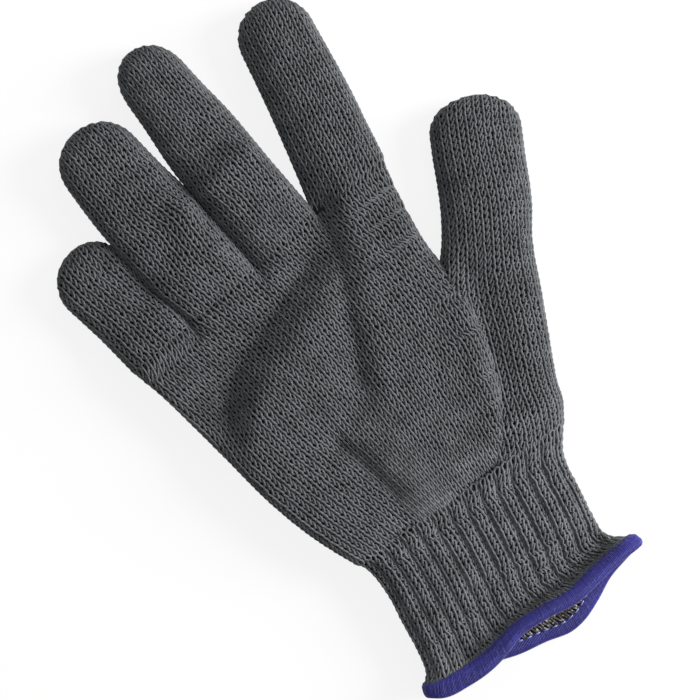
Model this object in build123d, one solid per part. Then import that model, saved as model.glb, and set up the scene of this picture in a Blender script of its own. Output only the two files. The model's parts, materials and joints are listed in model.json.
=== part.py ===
from build123d import *

import os
from math import cos, radians, sin, tan

os.makedirs("parts", exist_ok=True)

# A seamless knitted cut resistant glove, lying flat with its palm up, in millimetres.
# It is modelled with the middle of the wrist at x = y = 0, +Y to the fingertips, +X to the
# thumb and z = 0 under the palm. At the end the whole glove moves to the middle of its box.
# The knit is one skin, parted here at the creases where a hand bends it.

# The knitted skin
fabric_wall = 2.0
running_gap = 0.3  # between pieces that move past each other
crease_waist = 1.2  # knit left between two segments at the bending axis

# Palm
palm_height = 17.0
palm_edge_radius = 6.5
wrist_width = 82.0
heel_width_ulnar = 14.5  # how far the little finger's side swings out over the heel
heel_length = 33.0
web_height = 107.5  # from the wrist to the webs between the fingers
web_slope = 6.6  # degrees, the index finger's web stands higher
knuckle_shift = -12.4  # the row of fingers stands this far from the wrist's middle
palm_split_height = 69.0  # where the four-finger knit begins, level with the thumb's crotch
palm_corner_radius = 9.0

# Folds of the empty palm: round valleys pressed into its upper skin
fold_radius = 9.0
fold_wall = 1.1  # skin at the bottom of a fold, stretched thin, clear of the hand's room
crossing_fold_depth = 1.8  # across the palm, under the fingers' roots
web_fold_depth = 1.4  # down from the web beside the index finger
heel_fold_depth = 1.7

# Fingers
finger_height = 14.0
finger_edge_radius = 5.5
finger_gap = 1.6
finger_root_depth = 24.0  # how far a finger's tube runs on inside the palm
little_width = 26.5
little_tip_width = 24.5
little_length = 48.5
little_lean = -11.3
ring_width = 29.5
ring_tip_width = 28.5
ring_length = 79.0
ring_lean = -8.5
middle_width = 28.5
middle_tip_width = 27.0
middle_length = 87.5
middle_lean = -4.0
index_width = 29.0
index_tip_width = 26.0
index_length = 72.0
index_lean = 9.0
tip_flat = 5.0  # straight part of a fingertip's end, between its two corner arcs

# Creases, as distances from the web along each finger
root_crease = 8.0
little_middle_crease = 23.0
little_tip_crease = 37.0
ring_middle_crease = 32.0
ring_tip_crease = 56.0
middle_middle_crease = 35.0
middle_tip_crease = 62.0
index_middle_crease = 30.0
index_tip_crease = 52.0

# Thumb
thumb_height = 15.0
thumb_edge_radius = 6.0
thumb_width = 33.0
thumb_tip_width = 32.0
thumb_lean = 27.5
thumb_root_x = 64.5  # a point on the thumb's middle line, level with its crotch
thumb_root_y = 67.0
thumb_length = 51.0  # from that point to the tip
thumb_gusset_length = 62.0  # from that point back to the wrist
gusset_corner_radius = 8.0
thumb_root_crease = 3.5
thumb_tip_crease = 25.5
thumb_crotch_x = 44.5
gusset_heel_x = 21.0  # the gusset's seam line runs from here at the wrist to the crotch

# Cuff
cuff_height = 14.0
cuff_edge_radius = 5.5
cuff_waist_width = 78.5
cuff_waist_height = 24.0  # below the wrist
cuff_mouth_width = 87.0
cuff_mouth_y_top = -59.0
cuff_mouth_y_floor = -65.5
rib_pitch = 6.1
rib_groove_width = 1.0
rib_groove_depth = 0.6
elastic_pitch = 6.5
elastic_thickness = 0.8
elastic_width = 1.0
elastic_first = 12.0  # from the wrist to the first elastic

# Hem
hem_wrap = 1.2  # thread outside, inside and round the end of the cuff
hem_band = 6.5
hem_flare = 3.5  # how far the stretched edge stands out at each side
needle_thread = 0.7

# How far each crease bends, in degrees
finger_root_flex, finger_root_extend = 65.0, 10.0
finger_middle_flex, finger_middle_extend = 85.0, 0.0
finger_tip_flex, finger_tip_extend = 45.0, 0.0
thumb_root_flex, thumb_root_extend = 45.0, 10.0
thumb_tip_flex, thumb_tip_extend = 60.0, 0.0
wrist_flex, wrist_extend = 50.0, 50.0
crease_relief = 1.0  # degrees of room past each limit

FAR = 400.0  # longer than anything in the glove

# name: width, tip width, length, lean, middle crease, tip crease
FINGERS = {
    "little": (little_width, little_tip_width, little_length, little_lean,
               little_middle_crease, little_tip_crease),
    "ring": (ring_width, ring_tip_width, ring_length, ring_lean,
             ring_middle_crease, ring_tip_crease),
    "middle": (middle_width, middle_tip_width, middle_length, middle_lean,
               middle_middle_crease, middle_tip_crease),
    "index": (index_width, index_tip_width, index_length, index_lean,
              index_middle_crease, index_tip_crease),
}

# depth, then the plan points of the fold's line
PALM_FOLDS = (
    (crossing_fold_depth, ((-49.0, 70.0), (-29.5, 81.0), (3.0, 90.5))),
    (web_fold_depth, ((20.5, 99.0), (13.0, 84.0), (2.5, 62.0))),
    (heel_fold_depth, ((-20.0, 40.0), (-15.5, 14.0))),
)


def finger_centres():
    """The x of each finger's middle line at the web, side by side from the little finger."""
    widths = [values[0] for values in FINGERS.values()]
    span = sum(widths) + finger_gap * (len(widths) - 1)
    edge, centres = knuckle_shift - span / 2, {}
    for name, width in zip(FINGERS, widths):
        centres[name] = edge + width / 2
        edge += width + finger_gap
    return centres, span


CENTRES, KNUCKLE_SPAN = finger_centres()


def web_y(x):
    """Height of the line through the webs at x."""
    return web_height + (x - knuckle_shift) * tan(radians(web_slope))


def along(x, y, lean, distance):
    """The point at a distance from (x, y), leaning from +Y towards +X by lean degrees."""
    return x + distance * sin(radians(lean)), y + distance * cos(radians(lean))


def pillow(outline, floor, height, radius, skin=0.0):
    """A flat body with rounded edges from a plan outline; skin shrinks it on all sides."""
    plan = offset(outline, -skin, kind=Kind.INTERSECTION) if skin else outline
    body = Pos(0, 0, floor + skin) * extrude(plan, height - 2 * skin)
    rims = body.faces().sort_by(Axis.Z)[0].edges() + body.faces().sort_by(Axis.Z)[-1].edges()
    return fillet(rims, max(radius - skin, 1.0))


def tube_outline(width, tip_width, length, root_depth):
    """Plan of a finger on +Y from y = -root_depth, with a round end at y = length."""
    plan = make_face(Polyline((-width / 2, -root_depth), (width / 2, -root_depth),
                              (tip_width / 2, length), (-tip_width / 2, length), close=True))
    tips = plan.vertices().sort_by(Axis.Y)[-2:]
    return fillet(tips, (tip_width - tip_flat) / 2)


def finger_outline(name):
    width, tip_width, length, lean = FINGERS[name][:4]
    centre = CENTRES[name]
    turned = Rot(0, 0, -lean) * tube_outline(width, tip_width, length, finger_root_depth)
    return Pos(centre, web_y(centre), 0) * turned


def thumb_outline():
    plan = tube_outline(thumb_width, thumb_tip_width, thumb_length, thumb_gusset_length)
    plan = fillet(plan.vertices().sort_by(Axis.Y)[:2], gusset_corner_radius)
    return Pos(thumb_root_x, thumb_root_y, 0) * (Rot(0, 0, -thumb_lean) * plan)


def palm_outline():
    """Plan of the palm, run on past the wrist, where the crease cuts it."""
    left, right = knuckle_shift - KNUCKLE_SPAN / 2, knuckle_shift + KNUCKLE_SPAN / 2
    half = wrist_width / 2
    plan = make_face(Polyline(
        (-half, -heel_length), (half, -heel_length), (half, 0), (right, web_y(right)),
        (left, web_y(left)), (-half - heel_width_ulnar, heel_length), (-half, 0),
        close=True))
    corners = plan.vertices().filter_by(lambda v: v.Y > 0.5)
    return fillet(corners, palm_corner_radius)


class Crease:
    """A bending axis across the glove at a plan point, with the cut faces on both sides.

    heading is the direction of the moving side, leaning from +Y towards +X, and height is
    the axis's height. The faces lean apart by half of the bend each way."""

    def __init__(self, point, heading, height, flex, extend):
        self.point, self.heading, self.height = point, heading, height
        self.flex, self.extend = flex, extend

    def axis(self):
        """The axis that a positive, upward bend of the moving side turns about."""
        return cos(radians(self.heading)), -sin(radians(self.heading)), 0.0

    def beyond(self, side, room=0.0):
        """All space on the moving side of the held face (side -1) or moving face (side 1)."""
        up = tan(radians(self.flex / 2 + crease_relief)) * FAR / 4
        down = tan(radians(self.extend / 2 + crease_relief)) * FAR / 4
        apex = side * crease_waist / 2 + room
        section = make_face(Polyline(
            (apex, 0), (apex + side * up, FAR / 4), (FAR, FAR / 4), (FAR, -FAR / 4),
            (apex + side * down, -FAR / 4), close=True))
        # the sketch's x runs along the heading, and its y runs up
        block = extrude(Plane.YZ * section, FAR / 2, both=True)
        x, y = self.point
        return Pos(x, y, self.height) * Rot(0, 0, -self.heading) * block


def finger_creases(name):
    lean, middle, tip = FINGERS[name][3:6]
    centre = CENTRES[name]
    bends = ((root_crease, finger_root_flex, finger_root_extend),
             (middle, finger_middle_flex, finger_middle_extend),
             (tip, finger_tip_flex, finger_tip_extend))
    return [Crease(along(centre, web_y(centre), lean, distance), 0.0, finger_height / 2,
                   flex, extend) for distance, flex, extend in bends]


def thumb_creases():
    bends = ((thumb_root_crease, thumb_root_flex, thumb_root_extend),
             (thumb_tip_crease, thumb_tip_flex, thumb_tip_extend))
    return [Crease(along(thumb_root_x, thumb_root_y, thumb_lean, distance), thumb_lean,
                   thumb_height / 2, flex, extend) for distance, flex, extend in bends]


def wrist_crease():
    return Crease((0.0, 0.0), 180.0, palm_height / 2, wrist_flex, wrist_extend)


CREASES = {name: finger_creases(name) for name in FINGERS}
CREASES["thumb"] = thumb_creases()
WRIST = wrist_crease()


def fold_room(grow):
    """The rounded space that the palm's folds take up, grown by grow on all sides."""
    radius = fold_radius + grow
    room = None
    for depth, points in PALM_FOLDS:
        line = [Vector(x, y, palm_height + fold_radius - depth) for x, y in points]
        for start, end in zip(line, line[1:]):
            run = end - start
            bar = Plane((start + end) / 2, z_dir=run) * Cylinder(radius, run.length)
            room = bar if room is None else room + bar
        for point in line:
            room = room + Pos(point) * Sphere(radius)
    return room


def hand_skin():
    """Palm, fingers and thumb as one hollow skin, still whole and closed."""
    outlines = [(palm_outline(), palm_height, palm_edge_radius),
                (thumb_outline(), thumb_height, thumb_edge_radius)]
    outlines += [(finger_outline(name), finger_height, finger_edge_radius) for name in FINGERS]
    outside, inside = None, None
    for outline, height, radius in outlines:
        body = pillow(outline, 0, height, radius)
        room = pillow(outline, 0, height, radius, fabric_wall)
        outside = body if outside is None else outside + body
        inside = room if inside is None else inside + room
    return (outside - fold_room(0.0)) - (inside - fold_room(fold_wall))


def prism(points):
    """A tall block on a plan polygon."""
    return extrude(make_face(Polyline(*points, close=True)), FAR / 2, both=True)


def finger_lane(name):
    """The strip of plan that holds one finger from its root out, between its neighbours."""
    names = list(FINGERS)
    place = names.index(name)

    def border(left, right):
        """Foot and head of the line midway between two neighbours."""
        x = CENTRES[left] + FINGERS[left][0] / 2 + finger_gap / 2
        lean = (FINGERS[left][3] + FINGERS[right][3]) / 2
        start = along(x, web_y(x), lean, -root_crease)
        return start, along(x, web_y(x), lean, FAR / 2)

    low, high = -FAR / 2, FAR / 2
    foot = web_y(CENTRES[name]) - root_crease
    left = border(names[place - 1], name) if place else ((low, foot), (low, FAR / 2))
    right = border(name, names[place + 1]) if place + 1 < len(names) else (
        (high, foot), (high, FAR / 2))
    return prism([left[0], right[0], right[1], left[1]])


def thumb_side():
    """Plan to the right of a line up from the thumb's crotch, and of the gusset's seam."""
    crotch = (thumb_crotch_x, palm_split_height)
    head = along(*crotch, thumb_lean / 3, FAR / 2)
    return prism([(gusset_heel_x, -heel_length), (gusset_heel_x, 0), crotch, head,
                  (FAR / 2, FAR / 2), (FAR / 2, -heel_length)])


def segments(skin, creases, names, joint_names):
    """Cuts a skin at its creases into moving segments and the knit that joins them."""
    pieces = {}
    rest = skin
    for crease, name, joint_name in zip(creases, names, joint_names):
        past = rest & crease.beyond(-1)
        pieces[joint_name] = past - crease.beyond(1, -running_gap)
        rest = past & crease.beyond(1)
        pieces[name] = rest
    for name, following in zip(names, creases[1:]):
        pieces[name] = pieces[name] - following.beyond(-1)
    return pieces


def hand_pieces():
    """The hand's knit, parted at its creases and at the borders between its knitted parts."""
    whole = hand_skin()
    pieces = {"wrist_knit": (whole & WRIST.beyond(-1)) - WRIST.beyond(1, -running_gap)}
    skin = whole - WRIST.beyond(-1)
    for name in FINGERS:
        lane = finger_lane(name)
        creases = CREASES[name]
        finger = skin & lane
        pieces |= segments(finger, creases, [f"{name}_base", f"{name}_middle", f"{name}_tip"],
                           [f"{name}_root_knuckle", f"{name}_middle_knuckle",
                            f"{name}_tip_knuckle"])
        skin = skin - (lane & creases[0].beyond(-1))
    side = thumb_side()
    thumb = skin & side
    pieces |= segments(thumb, CREASES["thumb"], ["thumb_base", "thumb_tip"],
                       ["thumb_root_knuckle", "thumb_tip_knuckle"])
    pieces["thumb_gusset"] = thumb - CREASES["thumb"][0].beyond(-1)
    palm = skin - side
    upper = Pos(0, palm_split_height + FAR / 2, 0) * Box(FAR, FAR, FAR)
    pieces["palm_four_finger"] = palm & upper
    pieces["palm_five_finger"] = palm - upper
    return pieces


def mouth_side(shift):
    """All space towards the fingers from the slanted mouth, moved up the arm by shift."""
    top, floor = cuff_mouth_y_top + shift, cuff_mouth_y_floor + shift
    height = cuff_height + 2 * hem_wrap
    rise = (top - floor) / height
    section = make_face(Polyline((floor - FAR * rise / 4, -FAR / 4),
                                 (floor + FAR * rise / 4, FAR / 4),
                                 (FAR, FAR / 4), (FAR, -FAR / 4), close=True))
    return extrude(Plane.YZ * section, FAR / 2, both=True)


def cuff_body(grow):
    """The cuff's solid outer form, narrow at its waist and flared at its mouth, grown or
    shrunk by grow on all sides, and run on past the wrist and the mouth."""
    wrist = wrist_width - 2 * running_gap
    stations = ((heel_length, wrist), (0.0, wrist), (-cuff_waist_height, cuff_waist_width),
                (cuff_mouth_y_top + hem_band, cuff_mouth_width),
                (cuff_mouth_y_floor - hem_band, cuff_mouth_width + 2 * hem_flare))
    middle = hem_wrap + cuff_height / 2
    sections = [Plane((0, y, middle), x_dir=(1, 0, 0), z_dir=(0, -1, 0)) * RectangleRounded(
        width + 2 * grow, cuff_height + 2 * grow, cuff_edge_radius + grow)
        for y, width in stations]
    return loft(sections)


def elastic_rows():
    """Distances from the wrist to the rows of elastic, down to the hem."""
    last = -cuff_mouth_y_top - hem_band - elastic_width
    rows = int((last - elastic_first) / elastic_pitch) + 1
    return [elastic_first + elastic_pitch * row for row in range(rows)]


def rib_grooves():
    """Straight grooves between the ribs, over and under the cuff."""
    flat = cuff_waist_width / 2 - cuff_edge_radius
    count = int(flat / rib_pitch)
    length = -cuff_mouth_y_floor + heel_length
    groove = Box(rib_groove_width, length, 2 * rib_groove_depth)
    grooves = []
    for place in range(-count, count + 1):
        for z in (hem_wrap, hem_wrap + cuff_height):
            grooves.append(Pos(place * rib_pitch, -length / 2, z) * groove)
    return grooves


def cuff_pieces():
    outer, inner = cuff_body(0.0), cuff_body(-fabric_wall)
    moving = WRIST.beyond(1)
    skin = (outer - inner) & moving & mouth_side(hem_wrap)
    band = mouth_side(0) - mouth_side(hem_band)
    wrap = cuff_body(hem_wrap) - cuff_body(-fabric_wall - hem_wrap)
    hem = (wrap & band) - skin
    thread_band = mouth_side(hem_band) - mouth_side(hem_band + needle_thread)
    thread = (cuff_body(needle_thread) - outer) & thread_band
    ring_room = cuff_body(-fabric_wall + elastic_thickness) - inner
    rings = []
    for row in elastic_rows():
        slab = Pos(0, -row, 0) * Box(FAR, elastic_width, FAR)
        rings.append(ring_room & slab)
    for ring in rings:
        skin = skin - ring
    above_hem = mouth_side(hem_band + needle_thread)
    for groove in rib_grooves():
        skin = skin - (groove & above_hem)
    return {"rib_cuff": skin, "hem_overlock": hem, "hem_needle_thread": thread,
            "cuff_elastic": Compound(children=rings)}


def to_box_middle(pieces):
    """The move that puts the middle of the glove's box at x = y = 0 and its foot at z = 0."""
    boxes = [piece.bounding_box() for piece in pieces.values()]
    left, right = min(b.min.X for b in boxes), max(b.max.X for b in boxes)
    near, away = min(b.min.Y for b in boxes), max(b.max.Y for b in boxes)
    return Vector(-(left + right) / 2, -(near + away) / 2, -min(b.min.Z for b in boxes))


def main():
    pieces = hand_pieces() | cuff_pieces()
    shift = to_box_middle(pieces)
    print("moved by", [round(value, 3) for value in shift])
    for name, piece in pieces.items():
        export_step(Pos(*shift) * piece, f"parts/{name}.step")
    return shift


if __name__ == "__main__":
    main()
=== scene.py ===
import json
from collections import namedtuple
from math import cos, pi, radians, sin, tan

import bmesh
import bpy
import numpy as np
from bpy.props import FloatProperty, FloatVectorProperty, IntProperty, PointerProperty
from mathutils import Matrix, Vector


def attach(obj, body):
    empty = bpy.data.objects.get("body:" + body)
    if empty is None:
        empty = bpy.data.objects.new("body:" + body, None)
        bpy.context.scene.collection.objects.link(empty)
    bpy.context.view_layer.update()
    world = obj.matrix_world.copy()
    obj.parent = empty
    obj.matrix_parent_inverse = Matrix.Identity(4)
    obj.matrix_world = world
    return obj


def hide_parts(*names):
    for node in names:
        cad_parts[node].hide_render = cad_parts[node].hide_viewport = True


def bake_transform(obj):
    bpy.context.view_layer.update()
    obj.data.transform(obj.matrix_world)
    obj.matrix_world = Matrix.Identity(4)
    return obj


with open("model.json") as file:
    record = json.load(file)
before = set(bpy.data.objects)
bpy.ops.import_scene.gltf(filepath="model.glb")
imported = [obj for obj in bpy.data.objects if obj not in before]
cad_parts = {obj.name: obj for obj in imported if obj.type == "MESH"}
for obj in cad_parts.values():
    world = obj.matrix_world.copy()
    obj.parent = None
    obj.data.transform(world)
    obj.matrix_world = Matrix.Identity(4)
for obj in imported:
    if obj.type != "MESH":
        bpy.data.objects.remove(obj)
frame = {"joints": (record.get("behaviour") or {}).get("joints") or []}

bl_info = {
    "name": "Cut resistant glove",
    "version": (1, 0),
    "blender": (4, 5, 0),
    "location": "3D View > Sidebar > Glove",
    "description": "Knits a seamless cut resistant glove with a ribbed cuff and an overlocked hem",
    "category": "Add Mesh",
}

# The glove is knitted in tubes: palm, four fingers, thumb and cuff. Each tube is a surface
# numbered in courses along it and wales across it, and each course is one yarn that runs
# in loops round the tube. Plan points are in millimetres from the middle of the wrist,
# with +y to the fingertips, +x to the thumb and z = 0 under the palm.
MM = 0.001
JOINTS = {joint["name"]: joint for joint in frame["joints"]}
WRIST = Vector(JOINTS["wrist_bend"]["pos_m"]).to_2d()
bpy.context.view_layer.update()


# ------------------------------------------------------------------ sizes and colours

def length(name, description, default):
    return FloatProperty(name=name, description=description, default=default * MM,
                         subtype="DISTANCE", unit="LENGTH", precision=5)


def share(name, description, default):
    return FloatProperty(name=name, description=description, default=default,
                         subtype="FACTOR", min=0.0, max=1.0)


def tint(name, description, default):
    return FloatVectorProperty(name=name, description=description, default=default,
                               subtype="COLOR", size=3, min=0.0, max=1.0)


class GLOVE_PG_knit(bpy.types.PropertyGroup):
    """The yarn and its loops."""

    wale: length("Wale", "Width of one stitch", 3.2)
    course: length("Course", "Height of one row of stitches", 2.5)
    yarn: length("Yarn radius", "Half of the yarn's thickness", 0.48)
    loop_depth: length("Loop depth", "How far the loops' legs stand in front of their heads", 0.33)
    lining_depth: length("Lining depth", "From the yarn's middle down to the knit's dark back",
                         0.70)
    lining_wall: length("Lining wall", "Thickness of the knit's back", 0.35)
    loop_swell: share("Loop swell", "How far a loop's legs bulge, as a share of a wale", 0.24)
    loop_skew: share("Loop skew", "How far a loop's head lies to the side, as a share of a wale",
                     0.14)
    loop_lead: share("Loop lead", "How much more one leg of a loop stands out", 0.25)
    loop_reach: share("Loop reach", "How far a loop reaches up and down, as a share of a course",
                      0.88)
    unevenness: share("Unevenness", "How much the loops differ", 0.06)
    points: IntProperty(name="Points", description="Points of the yarn's line in one stitch",
                        default=9, min=6, max=16)


class GLOVE_PG_hand(bpy.types.PropertyGroup):
    """The glove as it lies."""

    palm_height: length("Palm height", "Height of the palm as it lies", 16.6)
    wrist_height: length("Wrist height", "Height of the wrist as it lies", 15.2)
    finger_height: length("Finger height", "Height of the fingers as they lie", 14.2)
    thumb_height: length("Thumb height", "Height of the thumb as it lies", 15.0)
    fold_depth: share("Fold depth", "How deep the folds of the empty glove are", 1.0)


class GLOVE_PG_cuff(bpy.types.PropertyGroup):
    """The ribbed cuff and its hem."""

    ribs: IntProperty(name="Ribs", description="Ribs on each side of the cuff", default=14, min=4)
    height: length("Cuff height", "Height of the cuff as it lies", 14.0)
    course: length("Rib course", "Height of one row in the cuff", 2.5)
    groove: length("Groove", "How deep the sunk wale lies between two ribs", 2.2)
    hem_band: length("Hem band", "Width of the overlocked hem", 5.6)
    hem_thread: length("Hem thread", "Thickness of the overlock thread", 0.62)
    needle_thread: length("Needle thread", "Thickness of the needle thread", 0.5)
    elastic: length("Elastic", "Thickness of an elastic yarn", 0.8)


class GLOVE_PG_colours(bpy.types.PropertyGroup):
    """Finishes."""

    yarn: tint("Yarn", "Grey of the yarn", (0.122, 0.128, 0.136))
    yarn_light: tint("Yarn light", "Lightest strands of the yarn", (0.26, 0.27, 0.285))
    yarn_dark: tint("Yarn dark", "Darkest strands of the yarn", (0.05, 0.052, 0.055))
    # Near black: painted shade on the knit's back, which shows in the holes between the loops.
    lining_painted_shade: tint("Lining", "Back of the knit", (0.028, 0.028, 0.029))
    plating: tint("Plating", "Pale fibre on the cuff's inside", (0.78, 0.70, 0.57))
    overlock: tint("Overlock", "Blue of the hem", (0.044, 0.040, 0.30))
    overlock_light: tint("Overlock light", "Light strands of the hem", (0.13, 0.13, 0.47))
    needle: tint("Needle thread", "Light blue of the needle thread", (0.35, 0.42, 0.80))
    elastic: tint("Elastic", "Colour of the elastic yarn", (0.30, 0.30, 0.29))


class GLOVE_PG_settings(bpy.types.PropertyGroup):
    """All settings of the glove."""

    knit: PointerProperty(type=GLOVE_PG_knit)
    hand: PointerProperty(type=GLOVE_PG_hand)
    cuff: PointerProperty(type=GLOVE_PG_cuff)
    colours: PointerProperty(type=GLOVE_PG_colours)


def settings():
    return bpy.context.scene.glove


# ------------------------------------------------------------------ outlines

def smooth_line(knots):
    """A smooth function through (place, value) knots, level past its ends."""
    places, values = np.array(knots, float).T
    slopes = np.gradient(values, places)

    def at(place):
        place = np.clip(place, places[0], places[-1])
        i = np.clip(np.searchsorted(places, place) - 1, 0, len(places) - 2)
        gap = places[i + 1] - places[i]
        t = (place - places[i]) / gap
        return ((1 + 2 * t) * (1 - t) ** 2 * values[i] + t * (1 - t) ** 2 * gap * slopes[i]
                + t * t * (3 - 2 * t) * values[i + 1] + t * t * (t - 1) * gap * slopes[i + 1])
    return at


def ease(value):
    """From 0 to 1 with level ends."""
    value = np.clip(value, 0.0, 1.0)
    return value * value * (3 - 2 * value)


# x of the palm's two sides over y. Its thumb side rolls over the thumb's gusset.
palm_left = smooth_line((
    (-6, -41.0), (-3, -42.3), (5, -46.0), (15, -50.1), (33, -55.4), (53, -59.2), (71, -62.6),
    (90, -66.6), (101, -70.0)))
palm_right = smooth_line((
    (-6, 19.0), (-1, 23.5), (13, 34.0), (23, 38.8), (37, 43.0), (51, 45.2), (60, 45.0),
    (68, 43.8), (77, 43.0), (95, 44.4), (107, 46.3), (115, 48.2)))
# Lines that wales of the palm follow, x over y. They end at the webs. PALM_WALES lie to the
# left of the first, between them and to the right of the last.
PALM_WALES = (11, 9, 9, 10)
PALM_GUIDES = [smooth_line(knots) for knots in (
    ((-6, -14.0), (21, -21.7), (45, -28.4), (69, -33.3), (81, -35.8), (93, -39.4), (104.5, -43.5)),
    ((-6, -0.5), (45, -2.4), (69, -4.2), (81, -5.6), (93, -8.1), (107.5, -12.5)),
    ((-6, 21.0), (21, 23.5), (45, 24.8), (69, 24.1), (81, 22.4), (93, 19.9), (110.8, 16.6)))]
WEB_HEIGHT, WEB_SLOPE, WEB_MIDDLE = 107.5, radians(6.6), -12.4
WRIST_START = -2.0
PALM_STEPS = (-2, 16, 80, 108)  # y between which the palm's height changes
PALM_TOP_LEFT, PALM_TOP_RIGHT, PALM_UNDER = 11.0, 2.6, 6.0  # roundness of its section
WEB_EASE = 11.0  # length over which the palm takes on the fingers' sections
ARCH_TOP, ARCH_ROUND = -4.0, 14.0  # the palm's courses arch, highest at this x
ARCH_LEFT, ARCH_RIGHT = 0.19, 0.13  # how steeply they fall to both sides
SIDE_SHARE, CUFF_SIDE_SHARE = 0.43, 0.45  # height of a tube's sides, as a share of its own

# begin and end are x at the webs, lean is in degrees and twist how much more the wales lean,
# reach is the length past the web, lift how much higher the finger lies, crest how far its
# highest place lies to the right, and widths hold a distance from the web with the
# half-widths to the left and right there.
Finger = namedtuple("Finger", "begin end lean twist reach lift crest wales widths")
FINGERS = {
    "little": Finger(-70.2, -43.5, -9.0, -5.0, 46.9, -3.0, -0.1, (5, 5),
                     ((16, 13.4, 13.3), (34, 14.6, 13.0))),
    "ring": Finger(-43.5, -12.5, -8.2, -2.0, 78.4, 0.8, 0.12, (6, 6),
                   ((20, 17.2, 16.0), (37, 16.8, 16.1), (50, 16.2, 15.3), (66, 14.5, 14.9))),
    "middle": Finger(-12.5, 16.6, -5.5, -3.5, 87.3, 0.4, 0.26, (6, 6),
                     ((24, 14.7, 14.0), (48, 14.2, 14.0), (64, 12.3, 12.9), (76, 11.3, 12.4))),
    "index": Finger(16.6, 48.0, 8.8, -1.5, 72.4, 0.6, 0.46, (6, 6),
                    ((14, 14.5, 15.3), (32, 13.8, 15.1), (58, 13.6, 13.6))),
}
SECTION_TOP, SECTION_FLOOR = 3.2, 3.4  # roundness of a finger's section
FINGER_TILT, FINGER_RISE = 24.0, 20.0  # lengths over which its courses turn and it lifts
FINGER_TIP = (14.4, 6.8)  # roundness of a fingertip seen from above and from the side
TIP_POWER, TIP_COVERED = 2.1, 0.985  # shape of a tip's outline, and how far courses cover it
TIP_EDGE, TIP_KEPT = 6.0, 0.4  # its wales keep their width but for this edge, or this share
THUMB_ROOT, THUMB_LEAN, THUMB_END = (64.5, 67.0), 27.5, 51.5
THUMB_WALES, THUMB_TWIST = (6, 6), -3.0
THUMB_SECTION = (2.2, 0.12)  # roundness of its top and how far right its highest place is
THUMB_TIP = (12.5, 7.0)
THUMB_TILT, THUMB_RISE, THUMB_SINK = 38.0, 20.0, 0.5  # it lies lower than the palm
thumb_left = smooth_line((
    (-80, 16.0), (-40, 20.0), (-16, 21.5), (-7, 19.4), (-1, 18.0), (8, 17.0), (34, 17.3)))
thumb_right = smooth_line((
    (-80, 17.0), (-69, 17.8), (-60, 16.7), (-41, 15.7), (-21, 14.8), (-2, 13.9), (11, 15.3),
    (29, 14.9)))
# x of the cuff's two sides over y
cuff_left = smooth_line((
    (-62, -48.6), (-56, -47.6), (-51, -44.4), (-43, -42.5), (-29, -40.9), (-19, -39.6),
    (-5, -41.0), (1, -43.9)))
cuff_right = smooth_line((
    (-62, 45.4), (-56, 45.2), (-52, 40.4), (-47, 37.3), (-39, 37.1), (-27, 38.6), (-15, 40.2),
    (-11, 41.4), (-6, 44.8), (-1, 48.0), (1, 48.9)))
# y of the mouth's rim over x, on the upper and the lower layer
rim_upper = smooth_line((
    (-50, -55.5), (-45, -58.8), (-34, -60.7), (-20.5, -60.0), (-15, -58.5), (-9, -56.7),
    (3, -56.7), (16, -58.1), (23, -57.0), (31, -55.6), (39, -54.8), (46.4, -54.6)))
rim_lower = smooth_line((
    (-50, -55.5), (-45, -58.4), (-34, -60.2), (-20.5, -60.6), (-13, -62.7), (-2, -64.5),
    (8, -66.6), (13, -66.0), (22, -62.6), (30, -58.6), (39, -56.2), (46.4, -54.6)))

RIM_MIDDLE, RIM_FADE = -60.0, 2.2  # y of the rim, and how soon the courses straighten
CUFF_STEPS = (RIM_MIDDLE, -54, -46, -8, WRIST_START)  # y between which its height changes
MOUTH_FLARE = (3.0, 1.5)  # how much higher it stands at the first two
CUFF_TOP, CUFF_FLOOR = 4.6, 5.0  # roundness of its section
CUFF_FOOT, FOOT_KEPT = 1.2, 0.7  # its height off the floor, and the share its lower layer keeps
RIB_FADE = (-7.0, -1.5)  # y where the ribs flatten towards the palm
RIB_GATHER = 3.5  # length over which the hem gathers them at the other end
GROOVE_POWER = 0.4  # the lower it is, the narrower the grooves between them
WALES_PER_RIB, SUNK_HALF = 3, 0.5  # and half of the sunk wale's width, in wales
RIB_EDGES, RIB_PLACES = (0, 0.5, 1.5, 2.5, 3), (0, 0.045, 0.5, 0.955, 1)  # in wales and ribs
BURIED = 1.8  # knit that lies deeper than this in another tube isn't made
BURIED_MIDDLE, BURIED_HALF = 0.45, 0.42  # of that tube's section, as shares of its height
PALM_ROUND, THUMB_ROUND, THUMB_SHORT = 3.2, 2.6, 10.0  # its roundness, and its gap to the tip
WRIST_BEND = 8.0  # the wrist's knit reaches this far before and after the wrist's axis room before and after the thumb's joints, at a finger's root and, if it fits, elsewhere
THUMB_BEND_ROOM = 9.0  # and this far at the thumb's joints,
ROOT_BEND_ROOM, FINGER_BEND_ROOM = 7.5, 9.5  # at a finger's root and, if it fits, elsewhere
SWELL_UNEVEN, SHIFT_UNEVEN = 0.4, 0.8  # shares of the unevenness in a loop's swell and place
LINING_FACES = 2  # faces of the knit's back along and across a stitch
LINING_MERGE, CORE_MERGE = 0.05, 0.02  # points of a sheet that lie closer become one
INSIDE_START, INSIDE_END, INSIDE_GAP = 2, 10, 0.3  # courses, and their gap to the lining
ELASTIC_ROWS, ELASTIC_FIRST, ELASTIC_PITCH, ELASTIC_GAP = 7, 12.0, 6.5, 0.6
RIM_WALE = 2.3  # width of a wale at the rim, to space the hem's threads
HEM_POINTS, HEM_HALF_THICK, HEM_DEPTH = 14, 1.5, 0.45  # of a wrap, and how deep its middle is
HEM_SPACING, HEM_SLANT = 0.82, 0.18  # in threads, and in wales
HEM_SQUARE = 0.7  # the lower it is, the squarer the wraps, and 1 is round
HEM_PAST, HEM_OVER = 0.35, 0.1  # how far a wrap reaches past the band and over the rim
TALL_UNEVEN, THICK_UNEVEN = 0.015, 0.04
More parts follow.
